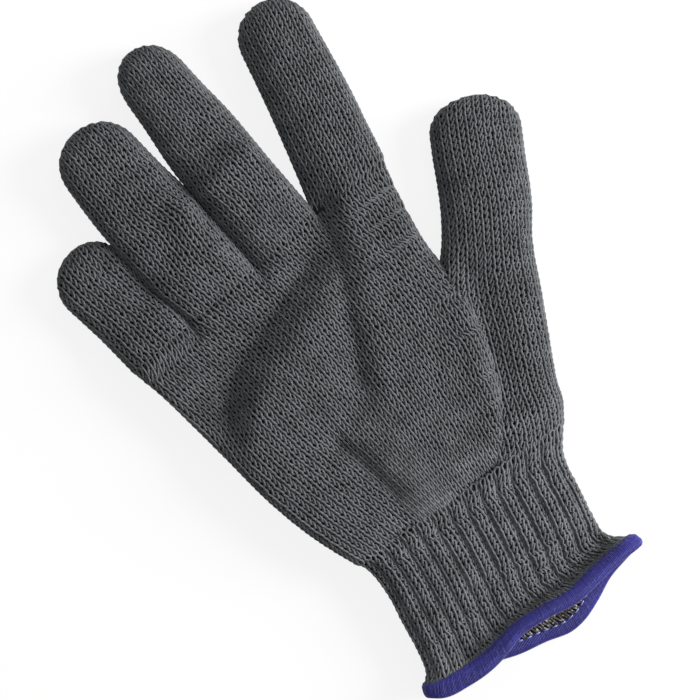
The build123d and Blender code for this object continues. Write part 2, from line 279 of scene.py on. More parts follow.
NARROW_MIDDLE, NARROW_HALF = 0.54, 0.17  # where the hem is narrow, as shares of the mouth
NARROWED = (0.16, 0.3)  # by how much, above and below
CORE_REACH, CORE_MIDDLE = 0.5, 0.47  # the folded edge in the wraps, as shares of their height
CORE_INSET, CORE_COLUMNS, CORE_ROWS = 0.1, 160, 16
NEEDLE_PITCH, NEEDLE_SHARE, NEEDLE_BACK = 3.1, 0.55, 0.9  # NEEDLE_BACK is from the band's edge
NEEDLE_POINTS, NEEDLE_DEPTH, NEEDLE_ARCH = 6, 2.2, 0.45  # its middle is deeper by the arch
FLOOR_HALF, FLOOR_DROP = 3.0, 0.2  # half its side in metres, millimetres below z = 0
FLOOR_GREY, FLOOR_GLOW, ROOM_LIGHT = 0.18, 0.85, 0.31
LAMP_SIZE = 0.8
LAMPS = (("key lamp", (1.4, -0.52, 0.7), 38.5), ("side lamp", (1.01, 0.86, 0.89), 3.6))
CAMERA_HEIGHT, VIEW_WIDTH = 1.6, 0.2534  # metres, the width at VIEW_LEVEL
VIEW_LEVEL, VIEW_MIDDLE, VIEW_ROLL = 8.0, (-1.0, 62.6), 34.5
SENSOR_WIDTH = 36.0  # the camera's, in millimetres

# Folds of the empty glove: the line of the crease, how far the fold reaches to its left and
# to its right, how round the crease is, and its depth. A depth below 0 is a roll.
PALM_FOLDS = (
    (((-50, 69), (-46.5, 74), (-37.5, 81), (-25, 85.5), (-5, 94), (4, 97)), 40, 12, 1, 5.4),
    (((-45, 57), (-40.5, 61.5), (-31.2, 67.5), (-18.5, 71.8), (1.5, 80.5)), 8, 34, 6, -2.4),
    (((-4.5, 50), (6, 73.2), (14.5, 92), (18.5, 106.9), (20, 110)), 30, 10, 1, 3.6),
    (((-23.5, 35), (-20.8, 27), (-18.3, 16), (-17.6, 10)), 26, 6.5, 1.5, 2.8),
    (((25, 4), (30.5, 17), (37.5, 37), (42, 52)), 14, 8, 1, -3.2),
)
FINGER_FOLDS = (
    (((-20, 138), (-9, 140), (8, 142)), 12, 22, 1, -3.6),
    (((-18.5, 150), (-16, 130), (-12, 108)), 6, 9, 1.5, 2.4),
    (((-50, 156), (-38, 160), (-21, 163)), 8, 8, 2, 0.8),
    (((-47, 126), (-34, 128), (-18, 131)), 10, 10, 2, 0.9),
    (((24, 150), (38, 146), (52, 143)), 10, 10, 2, 0.6),
)
HAND_FOLDS = PALM_FOLDS + FINGER_FOLDS
THUMB_FOLDS = ((((38, 20), (43, 34), (47, 50), (51, 61)), 8, 20, 2, 2.4),)
CUFF_FOLDS = (
    (((-26, -52.5), (-15, -51), (3, -49.4), (20, -48.6), (33, -48)), 17, 4, 1.5, 5.0),
    (((-12, -20), (-11, -19)), 40, 32, 6, -0.8),
)


def web_y(x):
    """Height of the webs between the fingers at x."""
    return WEB_HEIGHT + (x - WEB_MIDDLE) * tan(WEB_SLOPE)


def fold_depth(x, y, folds):
    """How far the folds sink the surface at (x, y), or raise it where that is below 0."""
    depth = np.zeros(np.broadcast(x, y).shape)
    for line, reach_left, reach_right, crease, sink in folds:
        nearest = np.full(depth.shape, np.inf)
        side = np.zeros(depth.shape)  # from -1 on the right to 1 on the left
        for (ax, ay), (bx, by) in zip(line, line[1:]):
            run, rise = bx - ax, by - ay
            t = np.clip(((x - ax) * run + (y - ay) * rise) / (run ** 2 + rise ** 2), 0, 1)
            gap = np.maximum(np.hypot(x - ax - t * run, y - ay - t * rise), 1e-6)
            left = (run * (y - ay) - rise * (x - ax)) / (np.hypot(run, rise) * gap)
            side = np.where(gap < nearest, np.clip(left * np.sign(rise), -1, 1), side)
            nearest = np.minimum(gap, nearest)
        reach = (reach_left * (1 + side) + reach_right * (1 - side)) / 2
        away = (np.hypot(nearest, crease) - crease) / reach
        depth += sink * np.clip(1 - away, 0, 1) ** 2
    return depth * settings().hand.fold_depth


# ------------------------------------------------------------------ the knitted surface

SAMPLES = 161  # points across half of a ring
ROWS_PER_COURSE, COLUMNS_PER_WALE = 2, 4
PAST_LAST = 1.001  # a place this far from the count still has a row or column beyond it
LOOP_STAND = 0.8  # share of a loop's depth by which it stands out from the yarn's middle
ACROSS = -np.cos(np.linspace(0, pi, SAMPLES))[None, :]  # from the left side to the right


def bulge(power, across=ACROSS):
    """The outline of a rounded section, 1 in its middle and 0 at its sides."""
    return (1 - np.minimum(np.abs(across), 1.0) ** power) ** (1 / power)


def ring_normals(upper, lower):
    """Outward directions at the points of rings given as an upper and a lower half."""
    ring = np.concatenate([upper, lower[:, ::-1]], axis=1)
    round_it = np.roll(ring, -1, axis=1) - np.roll(ring, 1, axis=1)
    along = np.gradient(ring, axis=0)
    normal = np.cross(round_it, along)
    normal /= np.maximum(np.linalg.norm(normal, axis=2, keepdims=True), 1e-12)
    half = upper.shape[1]
    return normal[:, :half], normal[:, half:][:, ::-1]


class Knit:
    """A knitted tube, numbered in courses and wales.

    upper and lower are its sheets, one row every half course, each from the left side to the
    right. On each row the wales count from a middle line, to -left and +right, and marks(row,
    line, arc) gives lengths along the row and the wales there. twist is how many wales the
    stitches have moved round the tube by each row. Past an open end the surface runs on."""

    def __init__(self, upper, lower, left, right, marks, twist=None, open_end=True):
        self.left, self.right, self.open_end = left, right, open_end
        self.twist = np.zeros(len(left)) if twist is None else twist
        self.low = -int(left.max())
        columns = (int(right.max()) - self.low) * COLUMNS_PER_WALE + 1
        wales = np.linspace(self.low, int(right.max()), columns)
        self.grids = []  # places and outward directions
        for sheet, normal in zip((upper, lower), ring_normals(upper, lower)):
            faced = np.concatenate([sheet, normal], axis=2)
            grid = np.zeros((len(sheet), columns, 6))
            for row, (line, arc) in enumerate(zip(faced, arcs(sheet))):
                number = np.interp(arc, *marks(row, line, arc))
                for axis in range(6):
                    grid[row, :, axis] = np.interp(wales, number, line[:, axis])
            self.grids.append(grid)

    @property
    def courses(self):
        return (len(self.grids[0]) - 1) // ROWS_PER_COURSE

    def counts(self, course):
        """Wales to the left and to the right of the middle line on a course."""
        row = int(round(course * ROWS_PER_COURSE))
        return int(self.left[row]), int(self.right[row])

    def around(self, course):
        """The sheets in order round a course, each with the wales where it starts and ends."""
        left, right = self.counts(course)
        return (0, -left, right), (1, right, -left)

    def at(self, sheet, course, wale):
        """Places and outward directions on the upper (0) or lower (1) sheet."""
        grid = self.grids[sheet]
        row, column = np.broadcast_arrays(course * float(ROWS_PER_COURSE),
                                          (wale - self.low) * float(COLUMNS_PER_WALE))
        last = len(grid) - PAST_LAST
        if not self.open_end:
            row = np.minimum(row, last)
        column = np.clip(column, 0, grid.shape[1] - PAST_LAST)
        i, j = np.clip(row, 0, last).astype(int), column.astype(int)
        s, t = (row - i)[..., None], (column - j)[..., None]
        found = ((grid[i, j] * (1 - s) + grid[i + 1, j] * s) * (1 - t)
                 + (grid[i, j + 1] * (1 - s) + grid[i + 1, j + 1] * s) * t)
        return found[..., :3], found[..., 3:]

    def round_at(self, course, ring, left, right, wale_place):
        """Places and outward directions for stitches counted round a course of left + right
        wales, from the left side over the upper sheet and back under the lower one."""
        half = left + right
        turned = np.interp(course * ROWS_PER_COURSE, np.arange(len(self.twist)), self.twist)
        ring = (ring + turned) % (2 * half)
        above = ring < half
        upper = self.at(0, course, wale_place(np.where(above, ring, 0) - left))
        lower = self.at(1, course, wale_place(right - np.where(above, 0, ring - half)))
        return [np.where(above[:, None], a, b) for a, b in zip(upper, lower)]


def arcs(sheet):
    """Lengths along a sheet's rows, from 0 at the left side."""
    steps = np.linalg.norm(np.diff(sheet, axis=1), axis=2)
    return np.concatenate([np.zeros((len(sheet), 1)), np.cumsum(steps, axis=1)], axis=1)


def inset():
    """From the knit's outside in to the middle of its yarn."""
    knit = settings().knit
    return (knit.yarn + knit.loop_depth * LOOP_STAND) / MM


def sheet_of(x, y, z):
    """One sheet of a tube from plan points and heights."""
    return np.stack(np.broadcast_arrays(x, y, z), axis=2)


def tube(x, y, tall, lift, drop, folds):
    """Upper and lower sheet of a tube. lift and drop, from 0 at its sides to 1, are how far
    its section rises and sinks."""
    side = SIDE_SHARE * tall
    top = side + (tall - inset() - side) * lift - fold_depth(x, y, folds) * np.sqrt(lift)
    return sheet_of(x, y, top), sheet_of(x, y, side - (side - inset()) * drop)


def palm_knit():
    hand, knit = settings().hand, settings().knit
    courses = round((WEB_HEIGHT - WRIST_START) / (knit.course / MM))
    rise = np.linspace(0, 1, courses * ROWS_PER_COURSE + 1)[:, None]

    def row_y(x):
        fall = np.where(x < ARCH_TOP, ARCH_LEFT, ARCH_RIGHT)
        hang = fall * (np.hypot(x - ARCH_TOP, ARCH_ROUND) - ARCH_ROUND)
        return WRIST_START + rise * (web_y(x) - WRIST_START) - 4 * rise * (1 - rise) * hang

    left, right = np.full(rise.shape, -50.0), np.full(rise.shape, 40.0)  # a first guess
    for _ in range(6):
        left, right = palm_left(row_y(left)), palm_right(row_y(right))
    x = (left + right) / 2 + (right - left) / 2 * ACROSS
    y = row_y(x)
    heights = (hand.wrist_height, hand.palm_height, hand.palm_height, hand.finger_height)
    tall = np.interp(y, PALM_STEPS, [height / MM for height in heights])
    at_web = 1 - ease((web_y(x) - y) / WEB_EASE)
    lobe_top, lobe_floor = np.zeros(x.shape), np.zeros(x.shape)
    for finger in FINGERS.values():
        start, end = finger.begin, finger.end
        inside = (x >= start) & (x <= end)
        across = np.where(inside, (2 * x - start - end) / (end - start), 1.0)
        lobe_top += bulge(SECTION_TOP, crest(across, finger.crest))
        lobe_floor += bulge(SECTION_FLOOR, across)
    full_top = np.where(ACROSS < 0, bulge(PALM_TOP_LEFT), bulge(PALM_TOP_RIGHT))
    lift = full_top * (1 - at_web) + np.minimum(lobe_top, 1) * at_web
    drop = bulge(PALM_UNDER) * (1 - at_web) + np.minimum(lobe_floor, 1) * at_web
    upper, lower = tube(x, y, tall, lift, drop, HAND_FOLDS)
    far_left, near_left, near_right, far_right = PALM_WALES
    left_count = np.full(len(rise), far_left + near_left)
    right_count = np.zeros(len(rise), int)
    for row, (line, arc) in enumerate(zip(upper, arcs(upper))):
        middle, last = (guide_arc(line, arc, guide) for guide in PALM_GUIDES[1:])
        pitch = (last - middle) / near_right
        beyond = (arc[-1] - last) / (knit.wale / MM if last < arc[-1] - 2 * pitch else pitch)
        right_count[row] = min(round(near_right + beyond), near_right + far_right)

    def marks(row, line, arc):
        first, middle, last = (guide_arc(line, arc, guide) for guide in PALM_GUIDES)
        pitch, wale = (last - middle) / near_right, near_right
        if last > arc[-1] - 2 * pitch:  # the palm ends before the last line
            last = arc[-1] - 2 * pitch
            wale = (last - middle) / pitch
        return ([0, first, middle, last, arc[-1]],
                [-left_count[row], -near_left, 0, wale, right_count[row]])

    return Knit(upper, lower, left_count, right_count, marks)


def guide_arc(line, arc, guide):
    """Where along a row a guide line crosses it."""
    x = guide(line[len(line) // 2, 1])
    for _ in range(3):
        x = guide(np.interp(x, line[:, 0], line[:, 1]))
    return float(np.interp(x, line[:, 0], arc))


def crest(across, shift):
    """Moves the highest place of a section to the right of its middle."""
    return across - shift * (1 - across ** 2)


def limb_knit(start, lean, reach, left, right, tilt, tall, tip, wales, twist, folds, section,
              low=0.0):
    """A finger or the thumb: a tube along a line from start, with a rounded tip.

    left, right, tilt and tall are functions of the distance along the line. tilt is the
    courses' rise to the right in degrees, tip how round the end is from above and from the
    side, wales the stitches to both sides of the middle line and twist their lean from it.
    section is the top's roundness and crest, and low the distance where the tube begins."""
    (wales_left, wales_right), (plan_round, side_round) = wales, tip
    straight, over = reach - side_round - low, side_round * pi / 2
    count = round((straight + over) / (settings().knit.course / MM))
    walked = np.linspace(0, straight + over * TIP_COVERED, count * ROWS_PER_COURSE + 1)[:, None]
    turn = np.maximum(walked - straight, 0) / side_round
    distance = low + np.minimum(walked, straight) + side_round * np.sin(turn)
    past = np.clip((distance - (reach - plan_round)) / plan_round, 0, 1)
    narrow = (1 - past ** TIP_POWER) ** (1 / TIP_POWER)
    lean = radians(lean)
    slant = np.radians(tilt(distance))
    spread = narrow / np.cos(slant + lean)
    half_left, half_right = left(distance) * spread, right(distance) * spread
    across = (half_right - half_left) / 2 + (half_left + half_right) / 2 * ACROSS
    x = start[0] + distance * sin(lean) + across * np.cos(slant)
    y = start[1] + distance * cos(lean) + across * np.sin(slant)
    power, shift = section
    lift, drop = (bulge(power, crest(ACROSS, shift)) * np.cos(turn),
                  bulge(SECTION_FLOOR) * np.cos(turn))
    upper, lower = tube(x, y, tall(distance), lift, drop, folds)
    lengths, rounding = arcs(upper)[:, -1], (past > 0)[:, 0]
    whole = wales_left + wales_right
    pitch = float(lengths[~rounding][-1]) / whole
    counts = []
    for part in wales:
        fewer = np.clip(np.round(lengths * part / whole / pitch), 1, part)
        counts.append(np.where(rounding, fewer, part).astype(int))

    def marks(row, line, arc):
        middle = arc[-1] * wales_left / whole
        if not rounding[row]:
            return [0, middle, arc[-1]], [-wales_left, 0, wales_right]
        kept_left, kept_right = (max(side - TIP_EDGE, middle * TIP_KEPT)
                                 for side in (middle, arc[-1] - middle))
        return ([0, middle - kept_left, middle, middle + kept_right, arc[-1]],
                [-counts[0][row], -kept_left / pitch, 0, kept_right / pitch, counts[1][row]])

    turned = tan(radians(twist)) * np.minimum(distance - low, reach - plan_round - low) / pitch
    return Knit(upper, lower, *counts, marks, turned[:, 0], open_end=False)


def finger_knit(name):
    finger = FINGERS[name]
    centre = (finger.begin + finger.end) / 2
    half = (finger.end - finger.begin) / 2 * cos(radians(finger.lean))
    left, right = (smooth_line([(0, half)] + [(row[0], row[side]) for row in finger.widths])
                   for side in (1, 2))
    start_tilt = np.degrees(WEB_SLOPE)

    def tilt(distance):
        return start_tilt + (-finger.lean - start_tilt) * ease(distance / FINGER_TILT)

    def tall(distance):
        rise = finger.lift * ease(distance / FINGER_RISE)
        return settings().hand.finger_height / MM + rise

    return limb_knit((centre, web_y(centre)), finger.lean, finger.reach, left, right, tilt, tall,
                     FINGER_TIP, finger.wales, finger.twist, HAND_FOLDS,
                     (SECTION_TOP, finger.crest))


def thumb_knit():
    low = (WRIST_START - THUMB_ROOT[1]) / cos(radians(THUMB_LEAN))
    hand = settings().hand

    def tilt(distance):
        return -THUMB_LEAN * ease((distance - low) / THUMB_TILT)

    def tall(distance):
        wrist, thumb = hand.wrist_height / MM, hand.thumb_height / MM
        return wrist + (thumb - wrist) * ease((distance - low) / THUMB_RISE) - THUMB_SINK

    return limb_knit(THUMB_ROOT, THUMB_LEAN, THUMB_END, thumb_left, thumb_right, tilt, tall,
                     THUMB_TIP, THUMB_WALES, THUMB_TWIST, THUMB_FOLDS, THUMB_SECTION, low)


def cuff_knit():
    """The cuff from its rim (course 0) to the wrist, with a sunk wale between two ribs."""
    cuff = settings().cuff
    courses = round((WRIST_START - RIM_MIDDLE) / (cuff.course / MM))
    rise = np.linspace(0, 1, courses * ROWS_PER_COURSE + 1)[:, None]
    height = RIM_MIDDLE + rise * (WRIST_START - RIM_MIDDLE)
    left, right = cuff_left(height), cuff_right(height)
    x = (left + right) / 2 + (right - left) / 2 * ACROSS
    body = cuff.height / MM
    tall = np.interp(height, CUFF_STEPS, (body + MOUTH_FLARE[0], body + MOUTH_FLARE[1], body, body,
                                          settings().hand.wrist_height / MM - CUFF_FOOT))
    side = CUFF_FOOT + CUFF_SIDE_SHARE * tall
    fade_in = (1 - rise) ** RIM_FADE
    above = (tall + CUFF_FOOT - side - inset()) * bulge(CUFF_TOP)
    below = (side - CUFF_FOOT * FOOT_KEPT - inset()) * bulge(CUFF_FLOOR)
    y_upper, y_lower = (height + (rim(x) - RIM_MIDDLE) * fade_in for rim in (rim_upper, rim_lower))
    fold = fold_depth(x, y_upper, CUFF_FOLDS) * np.sqrt(bulge(CUFF_TOP))
    layers = [sheet_of(x, y_upper, side + above - fold), sheet_of(x, y_lower, side - below)]
    arc = arcs(layers[0])
    rib = arc / arc[:, -1:] * cuff.ribs
    fade = ((1 - ease((height - RIB_FADE[0]) / (RIB_FADE[1] - RIB_FADE[0])))
            * ease((height - RIM_MIDDLE - cuff.hem_band / MM) / RIB_GATHER))
    sunk = cuff.groove / MM * (1 - np.abs(np.sin(pi * rib)) ** GROOVE_POWER) * fade
    for sheet, normal in zip(layers, ring_normals(*layers)):
        sheet -= normal * sunk[..., None]
    count = np.full(len(rise), cuff.ribs * WALES_PER_RIB // 2)

    def marks(row, line, arc):
        return [0, arc[-1]], [-count[row], count[row]]

    return Knit(*layers, count, count, marks)


def rib_wale(wale):
    """Where a wale of the ribs lies among evenly spread ones: the sunk wale takes less room."""
    rib = np.floor(wale / WALES_PER_RIB)
    within = wale - rib * WALES_PER_RIB
    return (rib + np.interp(within, RIB_EDGES, RIB_PLACES)) * WALES_PER_RIB


def rib_face(wale):
    """1 on a wale that shows its front, -1 on the sunk one that shows its back."""
    gap = np.abs(wale - WALES_PER_RIB * np.round(wale / WALES_PER_RIB))
    return 1 - 2 * np.exp(-(gap / SUNK_HALF) ** 4)


def plain_wale(wale):
    return wale


def plain_face(wale):
    return np.ones(np.shape(wale))


def in_section(across, z, half, tall, power):
    """Whether points lie well inside a rounded section of that half-width and height."""
    up, room = z - BURIED_MIDDLE * tall, BURIED_HALF * tall - BURIED
    return (np.abs(across / (half - BURIED)) ** power + np.abs(up / room) ** power) < 1


def inside_palm(points):
    """Points that lie well inside the palm, in millimetres."""
    x, y, z = points.T
    left, right = palm_left(y), palm_right(y)
    held = in_section(x - (left + right) / 2, z, (right - left) / 2,
                      settings().hand.palm_height / MM, PALM_ROUND)
    return held & (y > WRIST_START) & (y < web_y(x))


def inside_thumb(points):
    """Points that lie well inside the thumb or its gusset, in millimetres."""
    x, y, z = points.T
    dx, dy, lean = x - THUMB_ROOT[0], y - THUMB_ROOT[1], radians(THUMB_LEAN)
    along, across = dx * sin(lean) + dy * cos(lean), dx * cos(lean) - dy * sin(lean)
    half = np.where(across < 0, thumb_left(along), thumb_right(along))
    held = in_section(across, z, half, settings().hand.thumb_height / MM, THUMB_ROUND)
    return held & (y > WRIST_START) & (along < THUMB_END - THUMB_SHORT)


def nowhere(points):
    return np.zeros(len(points), bool)


# ------------------------------------------------------------------ yarn and lining

def to_row(points):
    """Millimetres from the wrist to metres in the row's frame."""
    return points * MM + np.array([WRIST.x, WRIST.y, 0.0])


def course_lines(knit, course, hidden, dice, wale_place=plain_wale, face=plain_face,
                 depth=0.0, front=1.0, points=None):
    """The yarn of one course as open or closed lines: loops round the tube, less what is
    hidden inside another tube."""
    sizes = settings().knit
    left, right = knit.counts(course)
    stitches, fine = 2 * (left + right), points or sizes.points
    ring = np.linspace(0, stitches, stitches * fine, endpoint=False)
    size, shift, stand = (np.interp(ring, np.arange(stitches + 1), dice.normal(
        0, sizes.unevenness, stitches + 1)) for _ in range(3))
    turn = 2 * pi * ring
    up = course + (sizes.loop_reach + size) * np.cos(turn)
    aside = (ring + (sizes.loop_swell + size * SWELL_UNEVEN) * np.sin(2 * turn)
             + sizes.loop_skew * np.cos(turn) + shift * SHIFT_UNEVEN)
    place, normal = knit.round_at(up, aside, left, right, wale_place)
    out = (-np.cos(2 * turn) * (1 - sizes.loop_lead * np.sin(turn)) * sizes.loop_depth / MM
           * (1 + stand) * face(ring - left) * front)
    points = place + normal * (out - depth)[:, None]
    shown = ~hidden(points)
    if shown.all():
        return [(to_row(points), True)]
    start = int(np.argmin(shown))
    points, shown = np.roll(points, -start, axis=0), np.roll(shown, -start)
    edges = np.flatnonzero(np.diff(np.concatenate([[0], shown.astype(int), [0]])))
    runs = zip(edges[::2], edges[1::2])
    return [(to_row(points[a:b]), False) for a, b in runs if b - a >= fine]


def placed(name, data):
    """A new object in the scene."""
    item = bpy.data.objects.new(name, data)
    bpy.context.scene.collection.objects.link(item)
    return item


def mesh_from(bm, name):
    """The mesh of a bmesh that is done with."""
    mesh = bpy.data.meshes.new(name)
    bm.to_mesh(mesh)
    bm.free()
    return mesh


def thread_mesh(lines, radius):
    """Round threads along lines of points, as one mesh."""
    curve = bpy.data.curves.new("thread", "CURVE")
    curve.dimensions = "3D"
    curve.bevel_depth = radius
    curve.bevel_resolution = 1
    curve.use_fill_caps = True
    for points, closed in lines:
        spline = curve.splines.new("POLY")
        spline.points.add(len(points) - 1)
        flat = np.concatenate([points, np.ones((len(points), 1))], axis=1)
        spline.points.foreach_set("co", flat.ravel())
        spline.use_cyclic_u = closed
    holder = placed("thread", curve)
    bpy.context.view_layer.update()
    mesh = bpy.data.meshes.new_from_object(holder.evaluated_get(
        bpy.context.evaluated_depsgraph_get()))
    bpy.data.objects.remove(holder)
    bpy.data.curves.remove(curve)
    return mesh


def wrapped_mesh(columns, rows, place, merge, hidden=nowhere, wall=0.0):
    """A smooth sheet closed round a tube. For the upper (0) and the lower (1) half, place gives
    the points at shares of the way round that half and of the way along."""
    bm = bmesh.new()
    bmesh.ops.create_grid(bm, x_segments=columns, y_segments=rows, size=0.5)
    grid = np.array([v.co[:2] for v in bm.verts]) + 0.5
    round_it, points = grid[:, 0] * 2, np.zeros((len(grid), 3))
    for half, mine in enumerate((round_it < 1, round_it >= 1)):
        points[mine] = place(half, round_it[mine] - half, grid[mine, 1])
    buried = hidden(points)
    for vert, point in zip(bm.verts, to_row(points)):
        vert.co = point
    gone = [face for face in bm.faces if all(buried[v.index] for v in face.verts)]
    bmesh.ops.delete(bm, geom=gone, context="FACES")
    bmesh.ops.remove_doubles(bm, verts=bm.verts[:], dist=merge * MM)
    bmesh.ops.recalc_face_normals(bm, faces=bm.faces[:])
    if wall:
        bmesh.ops.solidify(bm, geom=bm.faces[:], thickness=wall)
    for face in bm.faces:
        face.smooth = True
    return mesh_from(bm, "sheet")


def lining_mesh(knit, first, last, hidden):
    """The back of the knit: a thin closed sheet just under its yarn, near black as painted shade
    in the holes between the loops.
    """
    depth = settings().knit.lining_depth / MM

    def place(sheet, share, along):
        course = first + along * (last - first)
        row = np.clip(np.round(course * ROWS_PER_COURSE).astype(int), 0, len(knit.left) - 1)
        left, right = knit.left[row], knit.right[row]
        gone = share * (left + right)
        found, normal = knit.at(sheet, course, right - gone if sheet else -left + gone)
        return found - normal * depth

    columns = LINING_FACES * 2 * sum(knit.counts(first))
    rows = LINING_FACES * max(int(round(last - first)), 1)
    return wrapped_mesh(columns, rows, place, LINING_MERGE, hidden, settings().knit.lining_wall)


def make_piece(name, layers):
    """One object from (mesh, material) layers."""
    bm = bmesh.new()
    for number, (mesh, _) in enumerate(layers):
        before = len(bm.faces)
        bm.from_mesh(mesh)
        bm.faces.ensure_lookup_table()
        for face in bm.faces[before:]:
            face.material_index = number
        bpy.data.meshes.remove(mesh)
    mesh = mesh_from(bm, name)
    for _, material in layers:
        mesh.materials.append(material)
    return placed(name, mesh)


def thread_piece(name, lines, radius, material):
    return make_piece(name, [(thread_mesh(lines, radius), material)])


# Courses of a knit that a piece takes, what hides some of them and how its stitches lie
Stretch = namedtuple("Stretch", "knit first last hidden style", defaults=(nowhere, {}))
RIBBED = {"wale_place": rib_wale, "face": rib_face, "points": 8}


def knit_piece(name, parts, yarn, seed):
    """A piece of plain or ribbed knit from stretches."""
    dice = np.random.RandomState(seed)
    lines, linings = [], []
    for knit, first, last, hidden, style in parts:
        for course in range(first, last):
            lines += course_lines(knit, course, hidden, dice, **style)
        linings.append((lining_mesh(knit, first - 0.5, last - 0.5, hidden), lining_in_painted_shade()))
    return make_piece(name, [(thread_mesh(lines, settings().knit.yarn), yarn)] + linings)


# ------------------------------------------------------------------ materials

def add_node(tree, kind, inputs, **options):
    """A new node with its options. An input takes a value, a node or one of its outputs."""
    node = tree.nodes.new("ShaderNode" + kind)
    for key, value in options.items():
        setattr(node, key, value)
    for socket, value in inputs.items():
        if isinstance(value, bpy.types.Node):
            value = value.outputs[0]
        if isinstance(value, bpy.types.NodeSocket):
            tree.links.new(value, node.inputs[socket])
        else:
            node.inputs[socket].default_value = value
    return node


def heather_group():
    """Yarn spun from strands of uneven grey, lighter in streaks and darker in patches."""
    found = bpy.data.node_groups.get("heather")
    if found:
        return found
    tree = bpy.data.node_groups.new("heather", "ShaderNodeTree")
    for title, way, kind in (("Base", "INPUT", "Color"), ("Light", "INPUT", "Color"),
                             ("Dark", "INPUT", "Color"), ("Streaks", "INPUT", "Float"),
                             ("Color", "OUTPUT", "Color"), ("Height", "OUTPUT", "Float")):
        tree.interface.new_socket(title, in_out=way, socket_type="NodeSocket" + kind)
    given, out = tree.nodes.new("NodeGroupInput").outputs, tree.nodes.new("NodeGroupOutput")
    place = tree.nodes.new("ShaderNodeTexCoord").outputs["Object"]
    patches = add_node(tree, "TexNoise", {"Scale": 140.0, "Detail": 3.0, "Vector": place})
    strands = add_node(tree, "TexNoise", {"Scale": 1100.0, "Detail": 4.0, "Roughness": 0.65,
                                          "Vector": place})
    patchy = add_node(tree, "MapRange", {"From Min": 0.35, "From Max": 0.7, "To Min": 0.0,
                                         "To Max": 0.7, "Value": patches})
    streaky = add_node(tree, "MapRange", {"From Min": 0.5, "From Max": 0.72, "Value": strands})
    streak = add_node(tree, "Math", {0: streaky, 1: given["Streaks"]}, operation="MULTIPLY")
    darker = add_node(tree, "Mix", {0: patchy, 6: given["Base"], 7: given["Dark"]},
                      data_type="RGBA")
    lighter = add_node(tree, "Mix", {0: streak, 6: darker.outputs[2], 7: given["Light"]},
                       data_type="RGBA")
    tree.links.new(lighter.outputs[2], out.inputs["Color"])
    tree.links.new(strands.outputs[0], out.inputs["Height"])
    return tree


def shade(key, share=1.0):
    """One of the settings' colours, made darker or lighter."""
    return [min(value * share, 1.0) for value in getattr(settings().colours, key)] + [1.0]


def fabric(name, base, light, dark, streaks, roughness, sheen):
    """A matt yarn or thread with the heather group in its colour and its fibres in the bump."""
    found = bpy.data.materials.get(name)
    if found:
        return found
    material = bpy.data.materials.new(name)
    material.use_nodes = True
    tree = material.node_tree
    shader = tree.nodes["Principled BSDF"].inputs
    for title, value in (("Roughness", roughness), ("Sheen Weight", sheen),
                         ("Sheen Roughness", 0.4), ("Specular IOR Level", 0.35)):
        shader[title].default_value = value
    heather = add_node(tree, "Group", {}, node_tree=heather_group())
    for title, value in (("Base", base), ("Light", light), ("Dark", dark), ("Streaks", streaks)):
        heather.inputs[title].default_value = value
    fibres = add_node(tree, "Bump", {"Strength": 0.25, "Distance": 0.0002,
                                     "Height": heather.outputs["Height"]})
    tree.links.new(heather.outputs["Color"], shader["Base Color"])
    tree.links.new(fibres.outputs[0], shader["Normal"])
    return material


def grey_yarn():
    return fabric("grey composite yarn", shade("yarn"), shade("yarn_light"), shade("yarn_dark"),
                  streaks=0.55, roughness=0.62, sheen=0.10)


# The grey yarn painted 1.3 times lighter: painted light that makes the cuff and the wrist brighter
# than the palm and the fingers.
def rib_yarn_painted_lighter():
    return fabric("grey rib yarn", shade("yarn", 1.3), shade("yarn_light"), shade("yarn_dark"),
                  streaks=0.6, roughness=0.62, sheen=0.12)


# The knit's back in a near-black colour: painted shade that shows in the holes between the loops.
def lining_in_painted_shade():
    return fabric("dark back of the knit", shade("lining_painted_shade"), shade("yarn_dark"), shade("lining_painted_shade"),
                  streaks=0.3, roughness=0.8, sheen=0.0)


# Its dark patches take the near-black colour of the painted shade under the knit.
def plating_yarn():
    return fabric("speckled plating yarn", shade("yarn_dark"), shade("plating"), shade("lining_painted_shade"),
                  streaks=1.0, roughness=0.6, sheen=0.1)


def overlock_thread():
    return fabric("blue overlock thread", shade("overlock"), shade("overlock_light"),
                  shade("overlock", 0.5), streaks=0.45, roughness=0.5, sheen=0.3)


def needle_thread():
    return fabric("light blue needle thread", shade("needle"), shade("needle", 1.6),
                  shade("needle", 0.6), streaks=0.5, roughness=0.35, sheen=0.1)


def elastic_yarn():
    return fabric("covered elastic yarn", shade("elastic"), shade("elastic", 1.6),
                  shade("elastic", 0.5), streaks=0.5, roughness=0.45, sheen=0.0)


# ------------------------------------------------------------------ pieces

def joint_span(joint, room):
    """Two places before and after a joint, the room away from it at right angles to its axis."""
    place = Vector(JOINTS[joint]["pos_m"])
    across = Vector(JOINTS[joint]["axis"])
    ahead = Vector((-across.y, across.x, 0.0)).normalized()
    return place - ahead * room * MM, place + ahead * room * MM


def course_at(knit, y):
    """The course nearest to a height over the middle line."""
    rows = knit.grids[0][:, -knit.low * COLUMNS_PER_WALE, 1]
    return int(round(float(np.interp(y, rows, np.arange(len(rows)))) / ROWS_PER_COURSE))


def joint_y(joint):
    """Height of a joint over the wrist, in millimetres."""
    return (JOINTS[joint]["pos_m"][1] - WRIST.y) / MM


class GloveOperator(bpy.types.Operator):
    bl_options = {"REGISTER", "UNDO"}


